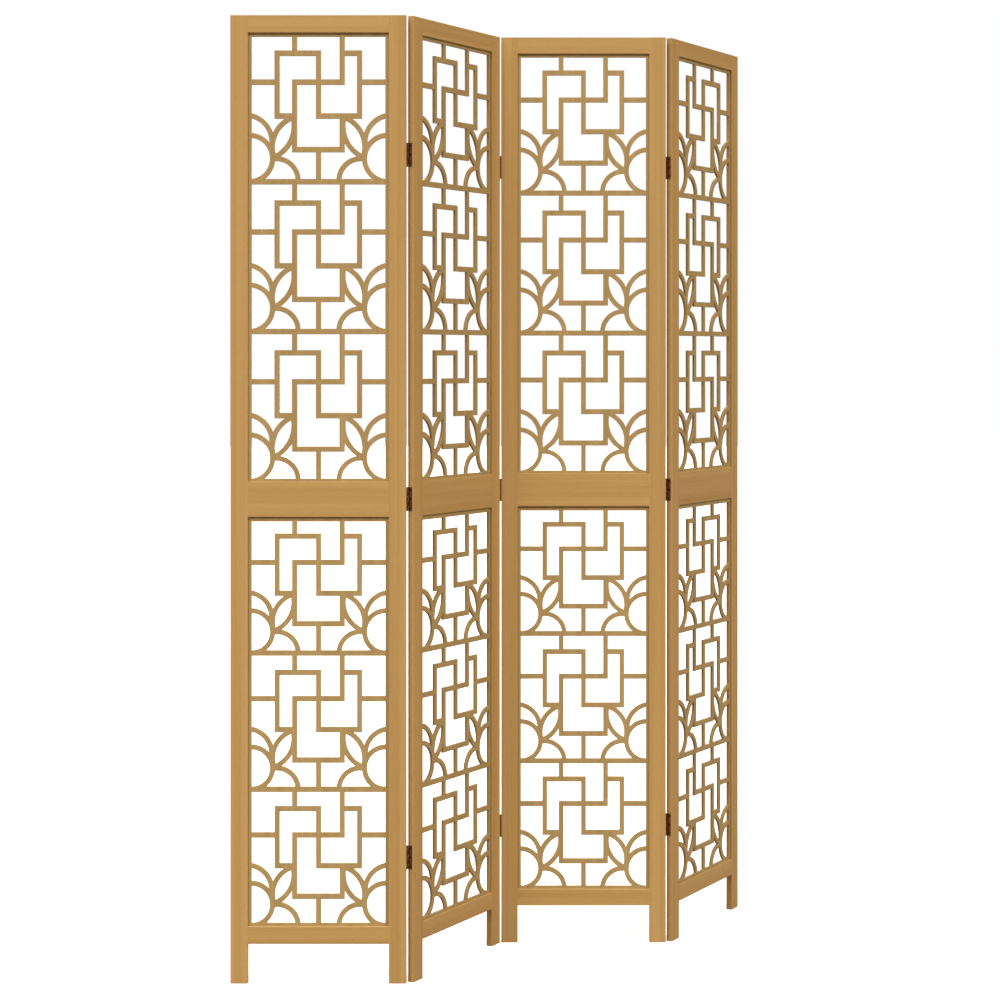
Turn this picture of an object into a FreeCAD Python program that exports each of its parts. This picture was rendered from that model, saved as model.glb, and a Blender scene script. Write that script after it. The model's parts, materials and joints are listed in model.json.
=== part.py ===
import FreeCAD, Part
import os
from FreeCAD import Placement, Rotation, Vector

# A free-standing folding screen of four panels, in millimetres, with +Z up.
# Each panel is a flat frame: two stiles that run down into the legs, three rails dowelled
# between them, and two sheets of cut fretwork held in grooves. Butt hinges join the panels.
# They close back to back and front to front in turn, so the screen stands in a zigzag.

# Frame of one panel
panel_count = 4
panel_width = 400.0
panel_height = 2200.0
panel_thickness = 15.0
stile_width = 40.0
top_rail_height = 40.0
middle_rail_height = 80.0
bottom_rail_height = 40.0
leg_height = 90.0
edge_radius = 1.0

# Fretwork sheets and the grooves that hold them. A border is what shows of a sheet's edge, and
# the top line of the last tile lies a little above the opening that the borders leave.
sheet_thickness = 6.0
sheet_lap = 4.0
side_border = 8.0
sill_border = 7.0
lower_head_border = 10.8
upper_head_border = 8.4
groove_side_gap = 0.1
groove_end_gap = 0.3
cross_bar_width = 12.5
upright_bar_width = 11.6
curved_bar_width = 11.5
tiles_per_window = 3
top_line_rise = 11.0

# Dowels, two at each end of each rail
dowel_radius = 3.0
dowel_length = 30.0
dowel_clearance = 0.05
dowel_end_gap = 1.0
dowel_height_shares = (0.25, 0.75)

# Hinges, three on each fold. A pin's centre line stands a little proud of the faces that close.
fold_angle = 61.0
hinge_height = 54.0
leaf_depth = 12.0
leaf_thickness = 0.8
pin_offset = 0.5
pin_radius = 0.75
pin_clearance = 0.05
pin_head_radius = 1.35
pin_head_top_radius = 0.9
pin_head_height = 0.6
knuckle_count = 5
knuckle_gap = 0.3
bottom_hinge_rise = 284.0
top_hinge_drop = 316.0

# Countersunk screws that hold the leaves
screws_per_leaf = 3
screw_length = 12.0
screw_radius = 1.1
screw_tip_length = 3.0
screw_head_radius = 2.5
screw_clearance = 0.05
screw_end_margin = 6.0
countersink_floor = 0.1
pilot_end_gap = 1.0

# One overrun serves every cut, and one tolerance finds edges by their place.
overrun = 1.0
tolerance = 0.001

# What follows from the sizes above
window_width = panel_width - 2 * stile_width
opening_width = window_width - 2 * side_border
lower_window = (leg_height + bottom_rail_height, (panel_height - middle_rail_height) / 2)
upper_window = ((panel_height + middle_rail_height) / 2, panel_height - top_rail_height)
head_borders = {lower_window: lower_head_border, upper_window: upper_head_border}
rails = {
    "bottom_rail": (leg_height, lower_window[0]),
    "middle_rail": (lower_window[1], upper_window[0]),
    "top_rail": (upper_window[1], panel_height),
}
groove_depth = sheet_lap + groove_end_gap
groove_width = sheet_thickness + 2 * groove_side_gap
sheet_front = (panel_thickness - sheet_thickness) / 2
groove_front = sheet_front - groove_side_gap
bore_radius = pin_radius + pin_clearance
knuckle_radius = bore_radius + leaf_thickness
panel_gap = 2 * knuckle_radius
notch_depth = knuckle_radius + knuckle_gap
screw_depth = (notch_depth + leaf_depth) / 2
screw_head_height = leaf_thickness - countersink_floor
hinge_bottoms = {
    "bottom": bottom_hinge_rise - hinge_height / 2,
    "middle": (panel_height - hinge_height) / 2,
    "top": panel_height - top_hinge_drop - hinge_height / 2,
}
screw_span = hinge_height - 2 * screw_end_margin
screw_heights = [
    screw_end_margin + screw_span * index / (screws_per_leaf - 1)
    for index in range(screws_per_leaf)
]

# The fretwork's lines. Columns are shares of the opening's width, from its middle. Rows are
# shares of one tile's height, from the middle of the bar below it.
column_shares = {
    "left_edge": -0.5,
    "far_left": -0.31,
    "left": -0.179,
    "centre": 0.0,
    "right": 0.177,
    "far_right": 0.307,
    "right_edge": 0.5,
}
row_shares = {
    "sill": 0.0,
    "seat": 0.2145,
    "waist": 0.4387,
    "chest": 0.6648,
    "brow": 0.8578,
    "head": 1.0,
}

# The straight bars of one tile: two interlocked squares, tied to the edges. Each bar is given
# as column, row, column, row.
straight_bars = (
    ("left_edge", "sill", "right_edge", "sill"),
    ("centre", "sill", "centre", "seat"),
    ("left", "seat", "right", "seat"),
    ("left", "seat", "left", "chest"),
    ("right", "seat", "right", "waist"),
    ("far_left", "waist", "left", "waist"),
    ("centre", "waist", "far_right", "waist"),
    ("far_left", "waist", "far_left", "brow"),
    ("centre", "waist", "centre", "brow"),
    ("far_right", "waist", "far_right", "brow"),
    ("left_edge", "chest", "far_left", "chest"),
    ("left", "chest", "right", "chest"),
    ("far_right", "chest", "right_edge", "chest"),
    ("far_left", "brow", "centre", "brow"),
    ("right", "brow", "far_right", "brow"),
    ("left", "brow", "left", "head"),
    ("right", "chest", "right", "head"),
)

# The curved bars of one tile's left corner, which the right corner mirrors. Each is an arc
# through three points, as shares of the opening's width and of the tile's height. Its ends lie
# inside other bars.
curved_bar_shares = {
    "round": ((-0.51, 0.001), (-0.344, 0.156), (-0.51, 0.31)),
    "petal": ((-0.516, 0.443), (-0.403, 0.389), (-0.357, 0.214)),
    "leaf_outer": ((-0.338, 0.175), (-0.283, 0.375), (-0.197, 0.428)),
    "leaf_inner": ((-0.339, 0.161), (-0.233, 0.236), (-0.192, 0.433)),
    "quarter": ((-0.348, 0.151), (-0.199, 0.11), (-0.153, 0.0)),
}


def box(x_range, y_range, z_range):
    """A box between the low and the high value given for each axis."""
    low, high = zip(sorted(x_range), sorted(y_range), sorted(z_range))
    size = Vector(*high) - Vector(*low)
    return Part.makeBox(size.x, size.y, size.z, Vector(*low))


def rod(radius, start, end):
    """A round bar from one point to another."""
    way = end - start
    return Part.makeCylinder(radius, way.Length, start, way)


def eased(solid, edges):
    """Round the edges listed."""
    return solid.makeFillet(edge_radius, edges)


# Frame members. A panel's own frame has x from its left edge, y from its front face and z from
# the floor.
def dowel_joints():
    """The middle of every dowel, on the line where a rail meets a stile."""
    return [
        Vector(joint_x, panel_thickness / 2, bottom + share * (top - bottom))
        for bottom, top in rails.values()
        for joint_x in (stile_width, panel_width - stile_width)
        for share in dowel_height_shares
    ]


def dowel_rods(radius, length):
    """A rod on every dowel's line, for the dowels themselves and for their holes."""
    half = Vector(length / 2, 0, 0)
    return [rod(radius, middle - half, middle + half) for middle in dowel_joints()]


def dowels():
    """All the dowels of one panel."""
    return Part.makeCompound(dowel_rods(dowel_radius, dowel_length))


def dowel_holes():
    """The holes that the dowels sit in."""
    return dowel_rods(dowel_radius + dowel_clearance, dowel_length + 2 * dowel_end_gap)


def groove_cutters():
    """One block for each window, as large as the groove all round it."""
    return [
        box(
            (stile_width - groove_depth, panel_width - stile_width + groove_depth),
            (groove_front, groove_front + groove_width),
            (bottom - groove_depth, top + groove_depth),
        )
        for bottom, top in (lower_window, upper_window)
    ]


def leaf_screw_points(edge_x, side):
    """Where the screws enter one edge of a panel: side is 'back' or 'front', as the fold is."""
    y = fold_axis_y(side) - inward(side) * screw_depth
    return [Vector(edge_x, y, low + rise) for low in hinge_bottoms.values() for rise in screw_heights]


def pilot_holes(edge_x, inner_x, side):
    """The holes in a stile for the screws of its hinges."""
    way = Vector(1, 0, 0) if inner_x > edge_x else Vector(-1, 0, 0)
    depth = screw_length + pilot_end_gap - leaf_thickness
    return [
        rod(screw_radius + screw_clearance, point - way * overrun, point + way * depth)
        for point in leaf_screw_points(edge_x, side)
    ]


def stile(edge_x, inner_x, side):
    """A stile with its outer edges rounded, its grooves, and its dowel and screw holes."""
    solid = box((edge_x, inner_x), (0, panel_thickness), (0, panel_height))
    outer = [
        edge
        for edge in solid.Edges
        if abs(edge.CenterOfMass.x - edge_x) < tolerance
        and abs(edge.Length - panel_height) < tolerance
    ]
    cutters = groove_cutters() + dowel_holes()
    if side:
        cutters += pilot_holes(edge_x, inner_x, side)
    return eased(solid, outer).cut(cutters)


def rail(bottom, top):
    """A rail with its long edges rounded, its grooves and its dowel holes."""
    solid = box((stile_width, panel_width - stile_width), (0, panel_thickness), (bottom, top))
    long_edges = [edge for edge in solid.Edges if abs(edge.Length - window_width) < tolerance]
    return eased(solid, long_edges).cut(groove_cutters() + dowel_holes())


# Fretwork sheets
def front_face(wire):
    """A flat upright face that looks to the front, whichever way its edges run."""
    face = Part.Face(wire)
    return face if face.normalAt(0, 0).y < 0 else face.reversed()


def strip(x_range, z_range):
    """A flat upright rectangle."""
    (left, right), (low, high) = sorted(x_range), sorted(z_range)
    corners = [Vector(left, 0, low), Vector(right, 0, low), Vector(right, 0, high), Vector(left, 0, high)]
    return front_face(Part.makePolygon(corners + corners[:1]))


def straight_bar(start, end):
    """A bar along one axis, with square ends as far past its two points as the bars it meets."""
    half_upright, half_cross = upright_bar_width / 2, cross_bar_width / 2
    x_range = (min(start.x, end.x) - half_upright, max(start.x, end.x) + half_upright)
    z_range = (min(start.z, end.z) - half_cross, max(start.z, end.z) + half_cross)
    return strip(x_range, z_range)


def curved_bar(points):
    """A bar of even width along the arc through three points."""
    arc = Part.Arc(*points).toShape().Curve

    def beside(offset):
        rays = [(point - arc.Center).normalize() for point in points]
        return [arc.Center + ray * (arc.Radius + offset) for ray in rays]

    inner = beside(-curved_bar_width / 2)
    outer = beside(curved_bar_width / 2)
    edges = [
        Part.Arc(*outer).toShape(),
        Part.makeLine(outer[-1], inner[-1]),
        Part.Arc(*reversed(inner)).toShape(),
        Part.makeLine(inner[0], outer[0]),
    ]
    return front_face(Part.Wire(edges))


def tile(floor, height, hand):
    """The bars of one tile. A hand of -1 turns the squares the other way round."""
    middle = panel_width / 2

    def place(column_share, row_share):
        return Vector(middle + column_share * opening_width, 0, floor + row_share * height)

    bars = []
    for start_column, start_row, end_column, end_row in straight_bars:
        start = place(hand * column_shares[start_column], row_shares[start_row])
        end = place(hand * column_shares[end_column], row_shares[end_row])
        bars.append(straight_bar(start, end))
    for points in curved_bar_shares.values():
        for mirror in (1, -1):
            bars.append(curved_bar([place(mirror * across, up) for across, up in points]))
    return bars


def fretwork(window, hand):
    """One sheet: a border that laps into the grooves, and its tiles, cut from one board."""
    bottom, top = window
    left, right = stile_width, panel_width - stile_width
    outside = strip((left - sheet_lap, right + sheet_lap), (bottom - sheet_lap, top + sheet_lap))
    sill, head = bottom + sill_border, top - head_borders[window]
    inside = strip((left + side_border, right - side_border), (sill, head))
    floor = sill - cross_bar_width / 2
    tile_height = (head + top_line_rise - floor) / tiles_per_window
    bars = []
    for index in range(tiles_per_window):
        bars += tile(floor + index * tile_height, tile_height, hand)
    joined = outside.cut(inside).multiFuse(bars).common(outside)
    outline = Part.Shell(joined.Faces).removeSplitter().Faces[0]
    sheet = outline.extrude(Vector(0, sheet_thickness, 0))
    sheet.translate(Vector(0, sheet_front, 0))
    return sheet


# Hinges. A leaf is made about its pin, for the left panel of a fold that closes at the back,
# and is mirrored for the other panel and for a fold that closes at the front.
def inward(side):
    """Which way along y the closing face looks: 1 for the back, -1 for the front."""
    return 1 if side == "back" else -1


def fold_axis_y(side):
    """Where the pins of a fold stand, in a panel's own frame."""
    return panel_thickness + pin_offset if side == "back" else -pin_offset


def knuckle_span(index):
    """The lowest and highest point of one knuckle, with the running gap to its neighbours."""
    pitch = hinge_height / knuckle_count
    low = index * pitch + (knuckle_gap / 2 if index > 0 else 0)
    high = (index + 1) * pitch - (knuckle_gap / 2 if index < knuckle_count - 1 else 0)
    return low, high


def knuckle(index):
    """One knuckle and the tongue that joins it to its leaf."""
    low, high = knuckle_span(index)
    barrel = rod(knuckle_radius, Vector(0, 0, low), Vector(0, 0, high))
    tongue = box((-knuckle_radius, -bore_radius), (-notch_depth - overrun, 0), (low, high))
    return [barrel, tongue]


def countersunk(radius, head_radius, length, tip_length):
    """A countersunk screw or its hole, along -X from the origin, with a point if it has a tip."""
    taper = Part.makeCone(head_radius, radius, screw_head_height, Vector(0, 0, 0), Vector(-1, 0, 0))
    shank = rod(radius, Vector(0, 0, 0), Vector(tip_length - length, 0, 0))
    pieces = [taper, shank]
    if tip_length:
        start = Vector(tip_length - length, 0, 0)
        pieces.append(Part.makeCone(radius, 0, tip_length, start, Vector(-1, 0, 0)))
    return pieces[0].multiFuse(pieces[1:]).removeSplitter()


def leaf(first_knuckle):
    """A leaf with every second knuckle, starting with the one named."""
    plate = box((-knuckle_radius, -bore_radius), (-leaf_depth, -notch_depth), (0, hinge_height))
    additions = []
    for index in range(first_knuckle, knuckle_count, 2):
        additions += knuckle(index)
    bore = rod(bore_radius, Vector(0, 0, -overrun), Vector(0, 0, hinge_height + overrun))
    cutters = [bore]
    for height in screw_heights:
        hole = countersunk(
            screw_radius + screw_clearance,
            screw_head_radius + screw_clearance,
            leaf_thickness + overrun,
            0,
        )
        hole.translate(Vector(-bore_radius, -screw_depth, height))
        cutters.append(hole)
    return plate.multiFuse(additions).cut(cutters).removeSplitter()


def leaf_screws():
    """The screws of one leaf, with their heads flush in it."""
    screws = []
    for height in screw_heights:
        screw = countersunk(screw_radius, screw_head_radius, screw_length, screw_tip_length)
        screw.translate(Vector(-bore_radius, -screw_depth, height))
        screws.append(screw)
    return screws


def hinge_pin():
    """A pin with a low head at each end, seated on the end knuckles."""
    foot, top = Vector(0, 0, 0), Vector(0, 0, hinge_height)
    shaft = rod(pin_radius, foot, top)
    heads = []
    for seat, way in ((top, Vector(0, 0, 1)), (foot, Vector(0, 0, -1))):
        heads.append(Part.makeCone(pin_head_radius, pin_head_top_radius, pin_head_height, seat, way))
    return shaft.multiFuse(heads).removeSplitter()


def seated(shape, right_panel, side, low):
    """Turn a piece made about the pin for its own panel and fold, and lift it to its height."""
    origin = Vector(0, 0, 0)
    if right_panel:
        shape = shape.mirror(origin, Vector(1, 0, 0))
    if side == "front":
        shape = shape.mirror(origin, Vector(0, 1, 0))
    axis_x = -panel_gap / 2 if right_panel else panel_width + panel_gap / 2
    placed = shape.copy()
    placed.translate(Vector(axis_x, fold_axis_y(side), low))
    return placed


# Assembly
fold_sides = ["back" if index % 2 == 0 else "front" for index in range(panel_count - 1)]


def panel_placements():
    """Where each panel stands, with every fold bent by the same angle, the first one first."""
    places = [Placement()]
    for side in fold_sides:
        pin = Vector(panel_width + panel_gap / 2, fold_axis_y(side), 0)
        turn = Placement(Vector(0, 0, 0), Rotation(Vector(0, 0, 1), inward(side) * fold_angle), pin)
        shift = Placement(Vector(panel_width + panel_gap, 0, 0), Rotation())
        places.append(places[-1].multiply(turn).multiply(shift))
    return places


def centred(places):
    """Move the whole screen so that the middle of its footprint is the origin."""
    slab = box((0, panel_width), (0, panel_thickness), (0, panel_height))
    upright = [edge for edge in slab.Edges if abs(edge.Length - panel_height) < tolerance]
    slab = eased(slab, upright)
    footprint = Part.makeCompound([slab.transformed(place.toMatrix()) for place in places])
    bounds = footprint.BoundBox
    shift = Placement(Vector(-bounds.Center.x, -bounds.Center.y, 0), Rotation())
    return [shift.multiply(place) for place in places]


def frame_nodes(index):
    """The wooden pieces of one panel, in its own frame."""
    left_side = fold_sides[index - 1] if index > 0 else None
    right_side = fold_sides[index] if index < panel_count - 1 else None
    pieces = {
        "left_stile": stile(0, stile_width, left_side),
        "right_stile": stile(panel_width, panel_width - stile_width, right_side),
        "dowels": dowels(),
    }
    for name, (bottom, top) in rails.items():
        pieces[name] = rail(bottom, top)
    hand = -1 if index == panel_count - 1 else 1
    pieces["lower_lattice"] = sheets["lower", hand]
    pieces["upper_lattice"] = sheets["upper", hand]
    return pieces


def screw_node(index):
    """The hinge screws of one panel, in its own frame."""
    screws = []
    for low in hinge_bottoms.values():
        if index > 0:
            screws += [seated(screw, True, fold_sides[index - 1], low) for screw in leaf_screws()]
        if index < panel_count - 1:
            screws += [seated(screw, False, fold_sides[index], low) for screw in leaf_screws()]
    return Part.makeCompound(screws)


def export(name, shape, place):
    """Write one piece, standing where it stands in the screen."""
    shape.transformed(place.toMatrix()).exportStep("parts/" + name + ".step")


os.makedirs("parts", exist_ok=True)
sheets = {
    (name, hand): fretwork(window, hand)
    for name, window in (("lower", lower_window), ("upper", upper_window))
    for hand in (1, -1)
}
places = centred(panel_placements())
for index, place in enumerate(places):
    panel = "panel_" + str(index + 1)
    for name, piece in frame_nodes(index).items():
        export(panel + "_" + name, piece, place)
    export(panel + "_hinge_screws", screw_node(index), place)

outer_leaf = leaf(0)
inner_leaf = leaf(1)
for index, side in enumerate(fold_sides):
    fold = "fold_" + str(index + 1)
    for level, low in hinge_bottoms.items():
        hinge = fold + "_" + level + "_hinge"
        export(hinge + "_left_leaf", seated(outer_leaf, False, side, low), places[index])
        export(hinge + "_right_leaf", seated(inner_leaf, True, side, low), places[index + 1])
    pins = [seated(hinge_pin(), False, side, low) for low in hinge_bottoms.values()]
    export(fold + "_hinge_pins", Part.makeCompound(pins), places[index])

# Each fold's axis, as the record states it
for index, side in enumerate(fold_sides):
    pin = places[index].multVec(Vector(panel_width + panel_gap / 2, fold_axis_y(side), 0))
    print("fold", index + 1, "closes at the", side, "about", round(pin.x, 4), round(pin.y, 4))
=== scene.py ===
# %% [markdown]
# The object is a folding screen. Four tall wooden frames are hinged to stand in a zigzag, and both
# windows of each frame hold a sheet of fretwork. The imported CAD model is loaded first. It could be
# measured again by hand, but its nodes already say where each piece stands, so every place here
# comes from them.

import json
import math
import random

import bmesh
import bpy
from mathutils import Matrix, Vector


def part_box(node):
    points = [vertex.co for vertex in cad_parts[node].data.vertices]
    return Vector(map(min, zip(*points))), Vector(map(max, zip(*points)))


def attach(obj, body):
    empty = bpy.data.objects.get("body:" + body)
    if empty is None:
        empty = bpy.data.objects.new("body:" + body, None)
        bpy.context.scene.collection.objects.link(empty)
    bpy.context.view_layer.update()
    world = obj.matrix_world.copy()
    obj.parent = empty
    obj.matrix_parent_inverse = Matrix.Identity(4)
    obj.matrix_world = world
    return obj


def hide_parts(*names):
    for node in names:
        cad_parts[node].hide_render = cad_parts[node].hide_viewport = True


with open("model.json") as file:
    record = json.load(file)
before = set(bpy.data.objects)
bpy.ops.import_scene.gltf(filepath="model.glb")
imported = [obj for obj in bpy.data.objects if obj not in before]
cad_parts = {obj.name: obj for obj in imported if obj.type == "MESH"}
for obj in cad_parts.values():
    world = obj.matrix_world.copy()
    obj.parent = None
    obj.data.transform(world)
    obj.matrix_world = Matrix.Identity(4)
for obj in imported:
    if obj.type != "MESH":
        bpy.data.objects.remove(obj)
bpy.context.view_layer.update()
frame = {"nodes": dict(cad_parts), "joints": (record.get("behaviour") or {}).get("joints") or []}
scene = bpy.context.scene
MM = 0.001

# %% [markdown]
# Each panel is a straight piece of joinery, so it is easiest to build lying square: x from its
# left edge, y from its front face, z from the floor. Four matrices then stand the panels in the
# zigzag. The first panel stands square already. Each next one is the one before, turned about the
# pins of the fold between them and moved along by a panel's width and the gap at the hinge.

# %% Where the panels stand
PANEL_WIDTH = 400 * MM
FOLD_ANGLE = math.radians(61)
PANELS = (1, 2, 3, 4)
FOLDS = (1, 2, 3)

first_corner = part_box("panel_1_left_stile")[0]
places = {1: Matrix.Translation((first_corner.x, first_corner.y, 0))}
for panel, joint in zip(FOLDS, frame["joints"]):
    pin = places[panel].inverted() @ Vector(joint["pos_m"])
    pin.z = 0
    gap = 2 * (pin.x - PANEL_WIDTH)
    turn = Matrix.Rotation(joint["axis"][2] * FOLD_ANGLE, 4, "Z")
    about_pin = Matrix.Translation(pin) @ turn @ Matrix.Translation(-pin)
    places[panel + 1] = places[panel] @ about_pin @ Matrix.Translation((PANEL_WIDTH + gap, 0, 0))


def own_box(node, panel):
    """The lowest and highest corner of a CAD node, in its panel's own frame."""
    home = places[panel].inverted()
    points = [home @ vertex.co for vertex in frame["nodes"][node].data.vertices]
    return Vector(map(min, zip(*points))), Vector(map(max, zip(*points)))


for panel in PANELS:
    low, high = own_box(f"panel_{panel}_right_stile", panel)
    ends = [round(value / MM, 3) for value in (*low, *high)]
    print("panel", panel, "right stile, mm:", ends)

# %% [markdown]
# Materials and shapes are both made of nodes. A node can be added by hand in the editor, or in
# code, where each one takes a few lines. One helper fills in a node's inputs: a socket is linked,
# and anything else is set as the value. Others add a node with its inputs, and give its first
# output where that is what is needed. Four do the commonest steps, and the last starts a group.

# %% Helpers for node trees
def fill(tree, node, inputs):
    """Fill in a node's inputs. A list of sockets goes into one input that takes several."""
    for key, value in inputs.items():
        for one in value if isinstance(value, list) else [value]:
            if isinstance(one, bpy.types.NodeSocket):
                tree.links.new(one, node.inputs[key])
            else:
                node.inputs[key].default_value = one
    return node


def add(tree, kind, inputs=None, **settings):
    """Add a node with its settings, and fill in its inputs."""
    node = tree.nodes.new(kind)
    for name, value in settings.items():
        setattr(node, name, value)
    return fill(tree, node, inputs or {})


def take(tree, kind, inputs=None, **settings):
    """Add a node, and give its first output."""
    return add(tree, kind, inputs, **settings).outputs[0]


def maths(tree, operation, *values):
    """One step of arithmetic."""
    return take(tree, "ShaderNodeMath", dict(enumerate(values)), operation=operation)


def vectors(tree, operation, *values, **named):
    """One step of arithmetic on vectors."""
    values = {**dict(enumerate(values)), **named}
    return take(tree, "ShaderNodeVectorMath", values, operation=operation)


def noise(tree, place, scale, detail):
    """Noise from 0 to 1."""
    return take(tree, "ShaderNodeTexNoise", {"Vector": place, "Scale": scale, "Detail": detail})


def blend(tree, share, first, second):
    """A blend of two colours."""
    colours = {0: share, 6: first, 7: second}
    return add(tree, "ShaderNodeMix", colours, data_type="RGBA").outputs[2]


def new_group(name, tree_type, inputs, outputs):
    """Start a node group, and give its tree, its inputs and its output node."""
    tree = bpy.data.node_groups.new(name, tree_type)
    for label, kind in inputs.items():
        tree.interface.new_socket(label, in_out="INPUT", socket_type="NodeSocket" + kind)
    for label, kind in outputs.items():
        tree.interface.new_socket(label, in_out="OUTPUT", socket_type="NodeSocket" + kind)
    return tree, tree.nodes.new("NodeGroupInput").outputs, tree.nodes.new("NodeGroupOutput")


# %% [markdown]
# The frames are of a straight-grained light brown softwood. Its grain is a stack of layers: broad
# streaks, the growth lines, fine fibres and short dark pores. A picture of wood could be wrapped
# round each board, but it would repeat. Noise that is stretched along the board doesn't, and since
# it fills space, the ends of a board show end grain by themselves. The group reads a coordinate
# that each board carries: metres along it, across it and through it.

# %% Wood grain
LAYERS = {
    "streaks": (0.55, 52, 14),
    "lines": (0.9, 240, 20),
    "fibres": (17, 1900, 1900),
    "pores": (48, 1300, 1300),
}
PORE_LIMITS = {"From Min": 0.12, "From Max": 0.2}
PORE_DEPTH, LINE_HEIGHT = 0.7, 0.6
WOOD_ROUGHNESS, FIBRE_ROUGHNESS, PORE_ROUGHNESS = 0.46, 0.25, 0.15
WANDER_SCALE = (2.2, 14, 14)
WANDER = 5 * MM
RING_TILT = math.radians(22)

grain, given, out = new_group(
    "wood_grain",
    "ShaderNodeTree",
    {
        "Grain": "Vector",
        "Tone": "Float",
        **dict.fromkeys(("Light", "Dark", "Pore"), "Color"),
        **dict.fromkeys(("Streaks", "Lines", "Fibres", "Pores"), "Float"),
    },
    {"Color": "Color", "Height": "Float", "Roughness": "Float"},
)


def stretched_noise(coordinate, scale, detail):
    """Noise between about -0.5 and 0.5, stretched along the board."""
    point = vectors(grain, "MULTIPLY", coordinate, scale)
    return maths(grain, "SUBTRACT", noise(grain, point, 1.0, detail), 0.5)


part = add(grain, "ShaderNodeSeparateXYZ", {0: given["Grain"]}).outputs
wander = maths(grain, "MULTIPLY", stretched_noise(given["Grain"], WANDER_SCALE, 2.0), WANDER)
across = maths(grain, "ADD", part["Y"], wander)
level, tilt = math.cos(RING_TILT), math.sin(RING_TILT)
ring = maths(grain, "MULTIPLY_ADD", part["Z"], tilt, maths(grain, "MULTIPLY", across, level))
growth = maths(grain, "MULTIPLY_ADD", across, -tilt, maths(grain, "MULTIPLY", part["Z"], level))
turned = take(grain, "ShaderNodeCombineXYZ", {"X": part["X"], "Y": ring, "Z": growth})
streaks = stretched_noise(turned, LAYERS["streaks"], 2.0)
lines = stretched_noise(turned, LAYERS["lines"], 3.0)
fibres = stretched_noise(given["Grain"], LAYERS["fibres"], 1.0)
pores = {"Value": stretched_noise(given["Grain"], LAYERS["pores"], 0.0), **PORE_LIMITS}
pores = take(grain, "ShaderNodeMapRange", pores, interpolation_type="SMOOTHSTEP")

shade = maths(grain, "ADD", given["Tone"], 0.5)
for layer, strength in ((streaks, "Streaks"), (lines, "Lines"), (fibres, "Fibres")):
    shade = maths(grain, "MULTIPLY_ADD", layer, given[strength], shade)
wood = blend(grain, shade, given["Light"], given["Dark"])
wood = blend(grain, maths(grain, "MULTIPLY", pores, given["Pores"]), wood, given["Pore"])
height = maths(grain, "MULTIPLY_ADD", pores, -PORE_DEPTH, fibres)
height = maths(grain, "MULTIPLY_ADD", lines, LINE_HEIGHT, height)
roughness = maths(grain, "MULTIPLY_ADD", fibres, FIBRE_ROUGHNESS, WOOD_ROUGHNESS)
roughness = maths(grain, "MULTIPLY_ADD", pores, PORE_ROUGHNESS, roughness)
fill(grain, out, {"Color": wood, "Height": height, "Roughness": roughness})
print("wood grain:", len(grain.nodes), "nodes")

# %% [markdown]
# Hands and rags rub a finish thin along the edges. On lacquered wood the arrises turn a little
# paler, and on browned metal the bright metal shows. Both are the same effect with other values,
# so it is one group. Cycles could find the edges while it renders, but an exported model couldn't.
# Here each mesh carries the mask itself: its arris faces hold 1 and the rest 0.

# %% Worn edges
PATCH_LIMITS = {"From Min": 0.35, "From Max": 0.65}
wear, given, out = new_group(
    "worn_edges",
    "ShaderNodeTree",
    {
        **dict.fromkeys(("Color", "Worn"), "Color"),
        **dict.fromkeys(("Arris", "Scale", "Amount"), "Float"),
        "Vector": "Vector",
    },
    {"Color": "Color", "Mask": "Float"},
)
patches = noise(wear, given["Vector"], given["Scale"], 3.0)
patches = take(wear, "ShaderNodeMapRange", {"Value": patches, **PATCH_LIMITS})
mask = maths(wear, "MULTIPLY", maths(wear, "MULTIPLY", given["Arris"], given["Amount"]), patches)
fill(wear, out, {"Color": blend(wear, mask, given["Color"], given["Worn"]), "Mask": mask})


def new_material(name):
    """An empty material, with its tree and its main shader."""
    material = bpy.data.materials.new(name)
    material.use_nodes = True
    tree = material.node_tree
    return material, tree, tree.nodes["Principled BSDF"]


def linear(*srgb):
    """A colour as it looks on a screen, from 0 to 255, as the light that a shader counts with."""
    return tuple(((value / 255 + 0.055) / 1.055) ** 2.4 for value in srgb) + (1.0,)


def attribute(tree, name):
    """A value that the mesh carries."""
    return add(tree, "ShaderNodeAttribute", attribute_name=name).outputs


def worn_edges(tree, colour, worn, place, scale, amount):
    """The wear group in a material. It gives the colour with its worn edges, and their mask."""
    values = {
        "Color": colour,
        "Worn": worn,
        "Arris": attribute(tree, "arris")["Fac"],
        "Vector": place,
        "Scale": scale,
        "Amount": amount,
    }
    return add(tree, "ShaderNodeGroup", values, node_tree=wear).outputs


# %% [markdown]
# The wood has a thin satin lacquer: a soft sheen that doesn't hide the pores. The frame, the
# fretwork and the dowels are the same finish on different boards, so one function makes all
# three, from their colours and from how strong each layer of the grain is.

# %% The woods
SHEEN = 0.3
COAT_ROUGHNESS = 0.3
RUB_SCALE, RUB_AMOUNT = 30.0, 0.5
STRENGTHS = (1.3, 0.9, 0.35, 0.1)
RELIEF = 0.04 * MM
LACQUER = 0.04
DOWEL_STRENGTHS = (0.5, 0.7, 0.4, 0.2)
DOWEL_RELIEF = 0.03 * MM


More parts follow.
